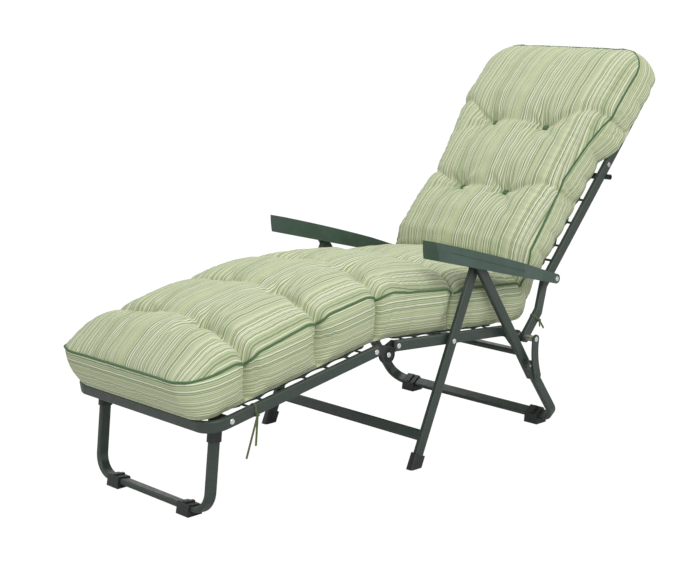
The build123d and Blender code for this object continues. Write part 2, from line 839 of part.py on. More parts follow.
def sling_elastics(place, angle, span, count, end_bars=()):
    """Straps from the rails to the canvas, and to the end bars, each given as a near and a far distance."""
    front, rear = span
    pitch = (rear - front) / count
    reach = rail_in - sling_half_width + elastic_overlap
    with BuildPart() as straps:
        with BuildSketch(lying_plane(place, angle).offset(sling_level - elastic_thick)):
            for number in range(count + 1):
                inset = elastic_inset if number == 0 else 0.0
                if number == count:
                    inset = -elastic_inset
                for side in (-1, 1):
                    with Locations((front + pitch * number + inset, side * (rail_in - reach / 2))):
                        Rectangle(elastic_width, reach)
            for near, far in end_bars:
                for share in end_strap_shares:
                    with Locations(((near + far) / 2, share * sling_half_width)):
                        Rectangle(far - near, elastic_width)
        extrude(amount=elastic_thick)
    return straps.part


footrest_bars = ((half_thick - front_reach, footrest_sling_span[0] + elastic_overlap),)
back_bars = ((back_sling_span[1] - elastic_overlap, back_run - half_thick),)
for name, place, angle, span, count, bars in (
    ("footrest", foot_hinge, footrest_angle, footrest_sling_span, footrest_scallops, footrest_bars),
    ("seat", seat_rivet, -rail_fall, seat_sling_span, seat_scallops, ()),
    ("back", back_base, back_angle, back_sling_span, back_scallops, back_bars),
):
    save(scalloped_sling(place, angle, span, count), name + "_sling")
    save(sling_elastics(place, angle, span, count, bars), name + "_elastics")


def pad_section(place, angle, along, half, seam, crown):
    """One section of a cushion: a flat base, bulged sides up to the piping, and a crowned top."""
    with BuildSketch(cross_plane(step(place, angle, along), angle)) as section:
        with BuildLine():
            foot = half * pad_base_share
            shoulder = half * pad_seam_share
            middle = (pad_level + seam) / 2
            Line((-foot, pad_level), (foot, pad_level))
            ThreePointArc((foot, pad_level), (half, middle), (shoulder, seam))
            ThreePointArc((shoulder, seam), (0, crown), (-shoulder, seam))
            ThreePointArc((-shoulder, seam), (-half, middle), (-foot, pad_level))
        make_face()
    return section.sketch


def padded(place, angle, stations):
    """A cushion from channel to channel: every second station is a crown between two channels."""
    with BuildPart() as pad:
        for first in range(0, len(stations) - 2, 2):
            for station in stations[first:first + 3]:
                add(pad_section(place, angle, *station))
            loft()
    return pad.part


# Cushion: footrest, seat and back pads, each crowned between sewn channels
footrest_pad = padded(
    foot_hinge,
    footrest_angle,
    [
        (-foot_pad_front, pad_half_width, low_seam, low_crown),
        (foot_pad_swell, pad_half_width + pad_swell, seam_level, crown_level),
        (foot_channel_front, pad_half_width, seam_level - channel_depth, crown_level - channel_depth),
        ((foot_channel_front + foot_channel_rear) / 2, pad_half_width + pad_swell, seam_level, crown_level),
        (foot_channel_rear, pad_half_width, seam_level - channel_depth, crown_level - channel_depth),
        ((foot_channel_rear + foot_pad_rear) / 2, pad_half_width + pad_swell, seam_level, crown_level),
        (foot_pad_rear, pad_half_width, seam_level - channel_depth, crown_level - channel_depth),
    ],
)
seat_pad_front = -distance(knee, seat_rivet) - knee_pad_reach
seat_pad = padded(
    seat_rivet,
    -rail_fall,
    [
        (seat_pad_front, pad_half_width, seam_level - channel_depth, crown_level - channel_depth),
        ((seat_pad_front + seat_channel) / 2, seat_pad_half, seam_level, crown_level),
        (seat_channel, seat_pad_half - pad_swell, seam_level - channel_depth, crown_level - channel_depth),
        ((seat_channel + seat_pad_rear) / 2, seat_pad_half, seam_level, crown_level),
        (seat_pad_rear, seat_pad_half - pad_swell, seat_rear_seam, seat_rear_crown),
    ],
)
back_pad = padded(
    back_base,
    back_angle,
    [
        (back_pad_low, back_half_low, back_low_seam, back_low_crown),
        ((back_pad_low + back_tufts[0][0]) / 2, back_half_low + pad_swell, back_seam, back_crown),
        (back_tufts[0][0], back_half_middle, back_seam, back_crown - channel_depth),
        ((back_tufts[0][0] + back_tufts[1][0]) / 2, back_half_middle + pad_swell, back_seam, back_crown),
        (back_tufts[1][0], back_half_middle, back_seam, back_crown - channel_depth),
        ((back_tufts[1][0] + back_pad_high) / 2, back_half_high, back_seam, back_crown),
        (back_pad_high, back_half_top, back_seam - channel_depth, top_crown),
    ],
)


def tufted(pad, place, angle, tufts, level, radius):
    """A cushion with a round hollow at each tuft, given as a distance along and across."""
    with BuildPart() as result:
        add(pad)
        for along, across in tufts:
            middle = step(place, angle, along, level + radius)
            for side in (-across, across):
                with Locations(at(middle, side)):
                    Sphere(radius, mode=Mode.SUBTRACT)
    return result.part


# The two pads meet on the plane through the knee that halves the angle between them
pad_reach = 4 * sling_half_width
knee_fold = (footrest_angle - rail_fall) / 2
with BuildPart() as footrest_cushion:
    add(tufted(footrest_pad, foot_hinge, footrest_angle, foot_tufts, tuft_level, tuft_radius))
    with BuildSketch(cross_plane(step(knee, knee_fold, -pad_gap / 2), knee_fold)):
        Rectangle(pad_reach, pad_reach)
    extrude(amount=pad_reach, mode=Mode.SUBTRACT)
save(footrest_cushion.part, "footrest_cushion")

with BuildPart() as seat_cushion:
    add(tufted(seat_pad, seat_rivet, -rail_fall, seat_tufts, tuft_level, tuft_radius))
    with BuildSketch(cross_plane(step(back_base, back_angle, back_pad_low - pad_gap), back_angle)):
        Rectangle(pad_reach, pad_reach)
    extrude(amount=pad_reach, mode=Mode.SUBTRACT)
    with BuildSketch(cross_plane(step(knee, knee_fold, pad_gap / 2), knee_fold)):
        Rectangle(pad_reach, pad_reach)
    extrude(amount=-pad_reach, mode=Mode.SUBTRACT)
save(seat_cushion.part, "seat_cushion")

with BuildPart() as back_cushion:
    add(tufted(back_pad, back_base, back_angle, back_tufts, button_level - button_rest, tuft_radius))
    with BuildSketch(lying_plane(back_base, back_angle).offset(button_level)):
        for along, across in back_tufts:
            with Locations((along, across), (along, -across)):
                Circle(button_radius + button_rest)
    extrude(amount=back_crown, mode=Mode.SUBTRACT)
save(back_cushion.part, "back_cushion")

with BuildPart() as cushion_buttons:
    with BuildSketch(lying_plane(back_base, back_angle).offset(button_level)):
        for along, across in back_tufts:
            with Locations((along, across), (along, -across)):
                Circle(button_radius)
    extrude(amount=button_height)
    back_up = Axis(at(back_base), lying_plane(back_base, back_angle).z_dir)
    fillet(cushion_buttons.edges().group_by(back_up)[-1], button_edge)
save(cushion_buttons.part, "cushion_buttons")


def tie(place, angle, middle_y, tails):
    """A tape round a flat tube, its knot low on the outer face, and the tails that hang from it."""
    hole_thick = tube_thick + 2 * tie_gap
    hole_width = tube_width + 2 * tie_gap
    hole_corner = tube_corner + tie_gap
    face_y = middle_y + hole_thick / 2 + tie_thick
    knot = step(place, angle, 0.0, (knot_height - tube_width) / 2)
    with BuildPart() as tape:
        with BuildSketch(cross_plane(step(place, angle, -tie_width / 2), angle, middle_y)):
            RectangleRounded(hole_thick + 2 * tie_thick, hole_width + 2 * tie_thick, hole_corner + tie_thick)
            RectangleRounded(hole_thick, hole_width, hole_corner, mode=Mode.SUBTRACT)
        extrude(amount=tie_width)
        with BuildSketch(side_plane(face_y + knot_depth, knot, angle)):
            RectangleRounded(knot_length, knot_height, knot_round)
        extrude(amount=knot_depth + tie_thick / 2)
        for tail_angle, length in tails:
            with BuildSketch(side_plane(face_y + (knot_depth + tie_thick) / 2, knot, tail_angle)):
                Rectangle(length, tie_width, align=(Align.MIN, Align.CENTER))
            extrude(amount=tie_thick)
    return tape.part


front_tie_place = step(foot_hinge, footrest_angle, front_tie_along)
rear_tie_place = step(hip, back_angle, rear_tie_along)
save_pair(tie(front_tie_place, footrest_angle, rail_y, front_tails), "front_tie")
save_pair(tie(rear_tie_place, back_angle, leg_y, rear_tails), "rear_tie")
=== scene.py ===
# Folding sun lounger with a striped, tufted cushion on dark green canvas, on a pale studio floor.
# Metres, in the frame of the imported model: +Z up, +X towards the head end, left is -Y.

import json
from math import atan2, ceil, cos, exp, hypot, pi, radians, sin, sqrt

import bpy
import numpy as np
from mathutils import Matrix, Vector


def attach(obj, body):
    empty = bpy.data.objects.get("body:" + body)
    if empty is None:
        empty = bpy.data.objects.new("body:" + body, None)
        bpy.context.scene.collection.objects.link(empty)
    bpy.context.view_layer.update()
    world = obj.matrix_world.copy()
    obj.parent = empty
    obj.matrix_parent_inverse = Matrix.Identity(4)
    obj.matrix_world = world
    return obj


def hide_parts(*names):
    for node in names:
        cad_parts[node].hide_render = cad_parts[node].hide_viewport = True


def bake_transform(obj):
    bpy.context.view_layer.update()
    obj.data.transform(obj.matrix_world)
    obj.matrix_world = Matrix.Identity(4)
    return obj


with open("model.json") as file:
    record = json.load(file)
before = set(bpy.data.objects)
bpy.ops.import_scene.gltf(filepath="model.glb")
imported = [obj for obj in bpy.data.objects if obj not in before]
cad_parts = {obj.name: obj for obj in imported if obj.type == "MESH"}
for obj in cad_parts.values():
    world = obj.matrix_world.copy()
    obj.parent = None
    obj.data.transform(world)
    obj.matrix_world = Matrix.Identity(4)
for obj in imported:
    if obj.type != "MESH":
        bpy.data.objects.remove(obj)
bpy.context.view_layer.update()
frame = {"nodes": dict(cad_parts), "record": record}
nodes = frame["nodes"]

MM = 0.001

# Camera, solved from the lounger's own edges
CAMERA_PLACE = (-2.96213, -2.88459, 1.28321)
CAMERA_ELEVATION = radians(11.578)
CAMERA_AZIMUTH = radians(-44.148)
CAMERA_FOCAL_PX = 1492.27
IMAGE_WIDTH_PX = 679
SENSOR_MM = 36.0

# Side-view places of the frame, in millimetres from the front feet
MIDDLE_X = 161.8
FOOT_HINGE = (-627.0, 258.0)
FOOT_RIVET = (-141.0, 341.0)
SEAT_RIVET = (-59.0, 343.6)
SEAT_FALL = -4.2
BACK_BASE = (583.0, 458.0)
BACK_ANGLE = 48.1


def place(point, y=0.0):
    """A side-view place in millimetres, as a point of the scene."""
    return Vector(((point[0] - MIDDLE_X) * MM, y * MM, point[1] * MM))


def heading(start, end):
    """The angle of a side-view line above +X, in degrees."""
    return atan2(end[1] - start[1], end[0] - start[0]) * 180 / pi


FOOT_ANGLE = heading(FOOT_HINGE, FOOT_RIVET)

# The Mix node has a socket for each kind of value. These are its factor's and its colours'.
MIX_FACTOR = 0
MIX_FIRST_COLOUR = 6
MIX_SECOND_COLOUR = 7
MIX_COLOUR_OUT = 2


class Shader:
    """A material under construction, with short names for the nodes that it needs."""

    def __init__(self, name):
        self.material = bpy.data.materials.new(name)
        self.material.use_nodes = True
        self.tree = self.material.node_tree
        self.principled = self.tree.nodes["Principled BSDF"]

    def node(self, kind):
        return self.tree.nodes.new(kind)

    def link(self, source, target):
        self.tree.links.new(source, target)

    def feed(self, target, value):
        """Links a socket, or sets a plain value. A colour is given its alpha."""
        if isinstance(value, bpy.types.NodeSocket):
            self.link(value, target)
        else:
            target.default_value = (*value, 1.0) if isinstance(value, tuple) else value

    def coords(self):
        return self.node("ShaderNodeTexCoord").outputs["Object"]

    def math(self, operation, first, second=0.0):
        made = self.node("ShaderNodeMath")
        made.operation = operation
        self.feed(made.inputs[0], first)
        self.feed(made.inputs[1], second)
        return made.outputs[0]

    def noise(self, vector, scale, detail=3.0, roughness=0.55, dimensions="3D"):
        made = self.node("ShaderNodeTexNoise")
        made.noise_dimensions = dimensions
        self.link(vector, made.inputs["W" if dimensions == "1D" else "Vector"])
        made.inputs["Scale"].default_value = scale
        made.inputs["Detail"].default_value = detail
        made.inputs["Roughness"].default_value = roughness
        return made.outputs["Fac"]

    def ramp(self, factor, stops):
        made = self.node("ShaderNodeValToRGB")
        elements = made.color_ramp.elements
        while len(elements) < len(stops):
            elements.new(0.5)
        for element, (position, colour) in zip(elements, stops):
            element.position = position
            element.color = (*colour, 1.0)
        self.link(factor, made.inputs["Fac"])
        return made.outputs["Color"]

    def mix(self, factor, first, second, blend="MIX"):
        made = self.node("ShaderNodeMix")
        made.data_type = "RGBA"
        made.blend_type = blend
        self.feed(made.inputs[MIX_FACTOR], factor)
        self.feed(made.inputs[MIX_FIRST_COLOUR], first)
        self.feed(made.inputs[MIX_SECOND_COLOUR], second)
        return made.outputs[MIX_COLOUR_OUT]

    def bump(self, height, strength, distance, normal=None):
        made = self.node("ShaderNodeBump")
        self.link(height, made.inputs["Height"])
        made.inputs["Strength"].default_value = strength
        made.inputs["Distance"].default_value = distance
        if normal is not None:
            self.link(normal, made.inputs["Normal"])
        return made.outputs["Normal"]

    def finish(self, colour, roughness, normal=None, metallic=0.0, specular=0.5, sheen=0.0):
        target = self.principled.inputs
        self.feed(target["Base Color"], colour)
        self.feed(target["Roughness"], roughness)
        target["Metallic"].default_value = metallic
        target["Specular IOR Level"].default_value = specular
        target["Sheen Weight"].default_value = sheen
        if normal is not None:
            self.link(normal, target["Normal"])
        return self.material


def painted_steel():
    """Dark green powder coat: a fine orange peel, faint mottling and a soft satin shine."""
    s = Shader("green_powder_coat")
    coords = s.coords()
    mottle = s.noise(coords, 35.0, 4.0)
    colour = s.ramp(mottle, [(0.3, (0.024, 0.038, 0.030)), (0.7, (0.031, 0.048, 0.038))])
    peel = s.noise(coords, 900.0, 2.0)
    roughness = s.ramp(s.noise(coords, 60.0), [(0.3, (0.36,) * 3), (0.7, (0.46,) * 3)])
    return s.finish(colour, roughness, s.bump(peel, 0.25, 0.0004), specular=0.5)


def black_plastic():
    """Moulded black plastic with a fine spark texture."""
    s = Shader("black_plastic")
    coords = s.coords()
    grain = s.noise(coords, 1400.0, 2.0)
    colour = s.ramp(s.noise(coords, 50.0), [(0.35, (0.011, 0.013, 0.013)), (0.7, (0.018, 0.020, 0.020))])
    return s.finish(colour, 0.48, s.bump(grain, 0.35, 0.0003), specular=0.45)


def armrest_plastic():
    """Dark green moulded plastic, lightly grained."""
    s = Shader("armrest_plastic")
    coords = s.coords()
    grain = s.noise(coords, 1100.0, 3.0)
    colour = s.ramp(s.noise(coords, 20.0), [(0.3, (0.036, 0.072, 0.054)), (0.7, (0.048, 0.092, 0.070))])
    return s.finish(colour, 0.42, s.bump(grain, 0.4, 0.0003), specular=0.5)


def bright_steel():
    """Zinc plated rivets, finely brushed."""
    s = Shader("bright_steel")
    coords = s.coords()
    colour = s.ramp(s.noise(coords, 300.0), [(0.3, (0.55, 0.56, 0.55)), (0.7, (0.72, 0.72, 0.70))])
    return s.finish(colour, 0.28, s.bump(s.noise(coords, 2000.0), 0.2, 0.0002), metallic=1.0)


def weave_height(s, uv, threads):
    """A plain weave of so many threads to the metre, and the split map that it is made from."""
    split = s.node("ShaderNodeSeparateXYZ")
    s.link(uv, split.inputs[0])
    along = s.math("SINE", s.math("MULTIPLY", split.outputs[0], threads * 2 * pi))
    across = s.math("SINE", s.math("MULTIPLY", split.outputs[1], threads * 2 * pi))
    return s.math("MULTIPLY", along, across), split


def canvas():
    """Dark green woven canvas."""
    s = Shader("green_canvas")
    uv = s.node("ShaderNodeUVMap").outputs["UV"]
    height = weave_height(s, uv, 700.0)[0]
    coords = s.coords()
    slub = s.noise(coords, 120.0, 4.0)
    colour = s.ramp(slub, [(0.3, (0.022, 0.046, 0.036)), (0.7, (0.034, 0.066, 0.050))])
    return s.finish(colour, 0.85, s.bump(height, 0.5, 0.0005), specular=0.25, sheen=0.15)


def elastic():
    """Ribbed dark elastic."""
    s = Shader("dark_elastic")
    coords = s.coords()
    colour = s.ramp(s.noise(coords, 200.0), [(0.3, (0.020, 0.034, 0.028)), (0.7, (0.034, 0.052, 0.042))])
    wave = s.node("ShaderNodeTexWave")
    wave.inputs["Scale"].default_value = 400.0
    s.link(coords, wave.inputs["Vector"])
    return s.finish(colour, 0.8, s.bump(wave.outputs["Fac"], 0.5, 0.0004), specular=0.2)


def dark_cotton():
    """Darker green cotton of the piping, buttons and tapes."""
    s = Shader("green_cotton")
    coords = s.coords()
    thread = s.noise(coords, 700.0, 3.0)
    colour = s.ramp(thread, [(0.3, (0.060, 0.125, 0.055)), (0.7, (0.110, 0.200, 0.090))])
    return s.finish(colour, 0.8, s.bump(thread, 0.6, 0.0005), specular=0.2, sheen=0.1)


def tape_cotton():
    """Cotton tape of the ties, in the stripes' olive."""
    s = Shader("tie_cotton")
    coords = s.coords()
    thread = s.noise(coords, 900.0, 3.0)
    colour = s.ramp(thread, [(0.3, (0.060, 0.085, 0.035)), (0.7, (0.13, 0.17, 0.075))])
    return s.finish(colour, 0.85, s.bump(thread, 0.6, 0.0005), specular=0.2)


def striped_cotton():
    """Pale green cotton, woven with lengthwise stripes of cream, olive, grey and dark green."""
    s = Shader("striped_cotton")
    uv = s.node("ShaderNodeUVMap").outputs["UV"]
    height, split = weave_height(s, uv, 650.0)
    along, across = split.outputs[0], split.outputs[1]
    wobble = s.math("MULTIPLY", s.math("SUBTRACT", s.noise(along, 3.0, 2.0, dimensions="1D"), 0.5), 0.002)
    stripe = s.math("ADD", across, wobble)
    broad = s.ramp(
        s.noise(stripe, 24.0, 1.0, 0.5, "1D"),
        [
            (0.00, (0.36, 0.42, 0.24)),
            (0.38, (0.49, 0.54, 0.33)),
            (0.47, (0.37, 0.43, 0.25)),
            (0.53, (0.60, 0.62, 0.42)),
            (0.60, (0.44, 0.48, 0.34)),
            (0.68, (0.54, 0.58, 0.36)),
        ],
    )
    fine = s.ramp(
        s.noise(stripe, 300.0, 1.0, 0.6, "1D"),
        [
            (0.00, (0.06, 0.11, 0.05)),
            (0.36, (0.13, 0.19, 0.09)),
            (0.42, (0.46, 0.52, 0.31)),
            (0.50, (0.60, 0.64, 0.42)),
            (0.545, (0.24, 0.30, 0.16)),
            (0.58, (0.72, 0.74, 0.54)),
            (0.66, (0.95, 0.95, 0.82)),
        ],
    )
    thread = s.noise(stripe, 900.0, 0.0, 0.5, "1D")
    grey = s.ramp(
        s.noise(stripe, 140.0, 1.0, 0.5, "1D"),
        [(0.0, (0.0,) * 3), (0.60, (0.0,) * 3), (0.63, (1.0,) * 3), (0.68, (1.0,) * 3), (0.70, (0.0,) * 3)],
    )
    green = s.ramp(
        s.noise(stripe, 110.0, 0.0, 0.5, "1D"),
        [(0.0, (1.0,) * 3), (0.30, (1.0,) * 3), (0.33, (0.0,) * 3), (1.0, (0.0,) * 3)],
    )
    colour = s.mix(0.68, broad, fine)
    colour = s.mix(s.math("MULTIPLY", grey, 0.5), colour, (0.40, 0.41, 0.42))
    colour = s.mix(s.math("MULTIPLY", green, 0.4), colour, (0.14, 0.27, 0.12))
    lustre = s.ramp(thread, [(0.35, (0.25, 0.27, 0.2)), (0.65, (0.75, 0.75, 0.7))])
    colour = s.mix(0.35, colour, lustre, "OVERLAY")
    puckers = s.noise(s.coords(), 55.0, 3.0)
    normal = s.bump(puckers, 0.22, 0.004)
    normal = s.bump(height, 0.35, 0.0004, normal)
    return s.finish(colour, 0.9, normal, specular=0.2, sheen=0.08)


MATERIALS = {
    "frame": painted_steel(),
    "black": black_plastic(),
    "rack": black_plastic(),
    "rivet": bright_steel(),
    "armrest": armrest_plastic(),
    "canvas": canvas(),
    "elastic": elastic(),
    "cushion": striped_cotton(),
    "trim": dark_cotton(),
    "tie": tape_cotton(),
}

for part in frame["record"]["subparts"]:
    carried = nodes[part["node"]]
    carried.data.materials.clear()
    carried.data.materials.append(MATERIALS[part["material_slot"]])


def new_object(name, points, faces, slot):
    """A mesh object from points in metres, with its material."""
    mesh = bpy.data.meshes.new(name)
    mesh.from_pydata([tuple(p) for p in points], [], faces)
    mesh.update()
    made = bpy.data.objects.new(name, mesh)
    bpy.context.scene.collection.objects.link(made)
    mesh.materials.append(MATERIALS[slot])
    mesh.shade_smooth()
    return made


def smooth_step(value):
    """Eases from 0 to 1 as the value does."""
    t = min(max(value, 0.0), 1.0)
    return t * t * (3 - 2 * t)


def table(pairs, at):
    """The value at a place, between the pairs of place and value."""
    return float(np.interp(at, [p[0] for p in pairs], [p[1] for p in pairs]))


def samples_between(start, end, step_size):
    """Evenly spaced values, at most a step apart."""
    count = max(2, int(ceil((end - start) / step_size)))
    return [start + (end - start) * i / count for i in range(count + 1)]


def raised(point, angle, along, up):
    """The side-view place along a line at the angle from a point, and up from it."""
    a = radians(angle)
    return (point[0] + along * cos(a) - up * sin(a), point[1] + along * sin(a) + up * cos(a))


def crossing(first, first_angle, second, second_angle):
    """Where two side-view lines meet."""
    d1 = (cos(radians(first_angle)), sin(radians(first_angle)))
    d2 = (cos(radians(second_angle)), sin(radians(second_angle)))
    turn = -d1[0] * d2[1] + d1[1] * d2[0]
    dx, dz = second[0] - first[0], second[1] - first[1]
    t = (-dx * d2[1] + dz * d2[0]) / turn
    return (first[0] + t * d1[0], first[1] + t * d1[1])


def length(start, end):
    return hypot(end[0] - start[0], end[1] - start[1])


MEAN_COUNT = 9


class Base:
    """The side-view line under a stretch of cushion, with the direction in which its sections rise."""

    def __init__(self, corners, end_angle, soft, fold=None):
        self.corners = corners
        self.end_angle = end_angle
        self.soft = soft
        self.fold = fold
        self.stops = [0.0]
        for start, end in zip(corners, corners[1:]):
            self.stops.append(self.stops[-1] + length(start, end))

    def raw(self, along):
        """The point at a length along the line, and the angle of the line there."""
        for index in range(len(self.corners) - 1):
            if along <= self.stops[index + 1]:
                angle = heading(self.corners[index], self.corners[index + 1])
                return raised(self.corners[index], angle, along - self.stops[index], 0.0), angle
        return raised(self.corners[-1], self.end_angle, along - self.stops[-1], 0.0), self.end_angle

    def rising(self, along):
        """The unit direction of the section: towards the crease in a fold, otherwise square to the line."""
        point, angle = self.raw(along)
        if self.fold and self.fold[0] < along < self.fold[1]:
            crease = self.fold[2]
            reach = length(point, crease)
            return ((crease[0] - point[0]) / reach, (crease[1] - point[1]) / reach)
        if self.fold:
            angle = heading(self.corners[0], self.corners[1]) if along <= self.fold[0] else self.end_angle
        return (-sin(radians(angle)), cos(radians(angle)))

    def at(self, along):
        """The softened point and direction, as means over a short stretch."""
        half = MEAN_COUNT // 2
        spread = [along + self.soft * (i - half) / half for i in range(MEAN_COUNT)]
        points = [self.raw(a)[0] for a in spread]
        rises = [self.rising(a) for a in spread]
        x = sum(q[0] for q in points) / MEAN_COUNT
        z = sum(q[1] for q in points) / MEAN_COUNT
        dx = sum(r[0] for r in rises)
        dz = sum(r[1] for r in rises)
        size = hypot(dx, dz)
        return (x, z), (dx / size, dz / size)


# Form of the cushion's cover, in millimetres or as shares: the creases' ends at the piping and the place
# across where the sides are measured, then the crown's shoulders, the creases, the tufts and the puckers
CREASE_END = 250.0
SIDE_ACROSS = 260.0
PINCH_POWER = 1.2
RUFFLE_PITCH = 71.0
DOME_POWER = 2.5
DOME_SHOULDER = 0.55
END_DOME_POWER = 2.4
END_SHOULDER = 0.6
CREASE_BLEND = 60.0
CREASE_LEAST = 0.4
CREASE_POWER = 1.05
SOFT_CREASE = 0.45
SOFT_CREASE_SPREAD = 3.2
SOFT_CREASE_POWER = 1.6
TUFT_STRETCH = 0.85
TUFT_POWER = 0.95
TUFT_FOLDS = 7
TUFT_FOLD_DEPTH = 0.22
TUFT_FOLD_START = 18.0
UNEVENNESS = 1.8
UNEVEN_WAVES = ((1.0, 0.043, 0.021, 0.034, -0.017), (0.7, 0.095, -0.013, 0.071, 0.009))
PUCKER_DEPTH = 2.6
PUCKER_PITCH = 23.0
PUCKER_START = 0.62
PUCKER_SPAN = 0.3
PUCKER_END_POWER = 12
PUCKER_DRIFT = 0.8
PUCKER_DRIFT_TURN = 0.021
LOWEST_SHARE = 0.3


class Pad:
    """The form of a stretch of cushion, in millimetres along, across and up from its base."""

    def __init__(self, **values):
        self.__dict__.update(values)

    def crease_at(self, row, across):
        """How far along a row's crease runs at a place across: it bends from its tufts to the piping."""
        along, tuft_across, lift = row
        return along + lift * smooth_step((abs(across) - tuft_across) / (CREASE_END - tuft_across))

    def near_row(self, along):
        """How far a place on the side is from the nearest row of tufts."""
        return min(abs(along - self.crease_at(row, SIDE_ACROSS)) for row in self.rows_of_tufts)

    def corner_loss(self, along):
        """How much narrower the rounded corners make the cushion."""
        loss = 0.0
        for end, sign in self.round_ends:
            inside = (along - end) * sign
            if inside < self.corner:
                loss += self.corner - sqrt(max(self.corner**2 - (self.corner - max(inside, 0.0)) ** 2, 0.0))
        return loss

    def half_width(self, along):
        """Half the width at the piping, drawn in at each row of tufts."""
        gaps = [abs(along - self.crease_at(row, SIDE_ACROSS)) for row in self.rows_of_tufts]
        pinch = sum(self.pinch * exp(-((gap / self.pinch_span) ** PINCH_POWER)) for gap in gaps)
        return table(self.widths, along) - pinch - self.corner_loss(along)

    def base_width(self, along):
        """Half the width at the base, whose edge is ruffled."""
        scallop = self.ruffle * abs(sin(pi * along / RUFFLE_PITCH))
        return table(self.base_widths, along) - self.corner_loss(along) + scallop

    def seam(self, along):
        """Height of the piping."""
        return table(self.seams, along)

    def top(self, along, across, half):
        """Height of the top cover, from its crown, creases and tufts."""
        seam = self.seam(along)
        share = min(abs(across) / half, 1.0)
        dome = (1 - share**DOME_POWER) ** DOME_SHOULDER
        for end, sign in self.round_ends:
            inside = (along - end) * sign
            if inside < self.end_rise:
                t = 1 - max(inside, 0.0) / self.end_rise
                dome *= max(1 - t**END_DOME_POWER, 0.0) ** END_SHOULDER
        rise = (table(self.crowns, along) - seam) * dome
        for row in self.rows_of_tufts:
            gap = abs(along - self.crease_at(row, across))
            outer = smooth_step((abs(across) - row[1] + CREASE_BLEND / 2) / CREASE_BLEND)
            depth = self.inner_crease + (self.outer_crease - self.inner_crease) * outer
            depth *= CREASE_LEAST + (1 - CREASE_LEAST) * dome
            rise -= depth * exp(-((gap / self.crease_span) ** CREASE_POWER))
            soft_gap = gap / (SOFT_CREASE_SPREAD * self.crease_span)
            rise -= SOFT_CREASE * depth * exp(-(soft_gap**SOFT_CREASE_POWER))
            for side in (-1, 1):
                dx, dy = along - row[0], across - side * row[1]
                away = hypot(dx, dy * TUFT_STRETCH)
                swing = sin(TUFT_FOLDS * atan2(dy, dx) + row[0])
                folds = 1 + TUFT_FOLD_DEPTH * swing * smooth_step(away / TUFT_FOLD_START)
                rise -= self.tuft_depth * folds * exp(-((away / self.tuft_span) ** TUFT_POWER))
        unevenness = 0.0
        for size, a, b, c, d in UNEVEN_WAVES:
            unevenness += size * sin(along * a + across * b) * cos(across * c + along * d)
        rise += UNEVENNESS * dome * unevenness
        edge = smooth_step((share - PUCKER_START) / PUCKER_SPAN) * (1 - share**PUCKER_END_POWER)
        phase = along * 2 * pi / PUCKER_PITCH + PUCKER_DRIFT * sin(along * PUCKER_DRIFT_TURN)
        rise -= PUCKER_DEPTH * edge * (0.5 + 0.5 * sin(phase))
        return seam + max(rise, -LOWEST_SHARE * seam)


# Form of the cushion's sides: how the piping dips at each row of tufts, the pleats that fan up from it,
# the bulge between the rows, and the groove low in the side
DIP_SPAN = 22.0
DIP_START = 0.8
DIP_WIDTH = 0.2
PLEAT_DEPTH = 4.5
PLEAT_PITCH_LOW = 9.0
PLEAT_PITCH_GAIN = 26.0
PLEAT_REACH = 2.2
BULGE_PINCH = 0.9
BULGE_PINCH_SPAN = 30.0
BULGE_POWER = 0.6
GROOVE_LOW = 5.0
GROOVE_GAIN = 4.0
GROOVE_POWER = 0.3

# The places of the cover's panels in the map that its stripes follow, in millimetres
TOP_MAP = 1000.0
BASE_MAP = 3000.0
SIDE_MAP = 5000.0

# How firmly the filling and the stitches hold the cover, and how near a tuft or a crease counts
HELD_FULLY = 1.0
HELD_LOW_SIDE = 0.55
HELD_SIDE = 0.06
HELD_PIPING = 0.75
HELD_CREASE = 0.5
HELD_TOP = 0.05
TUFT_HOLD = 14.0
CREASE_HOLD = 7.0


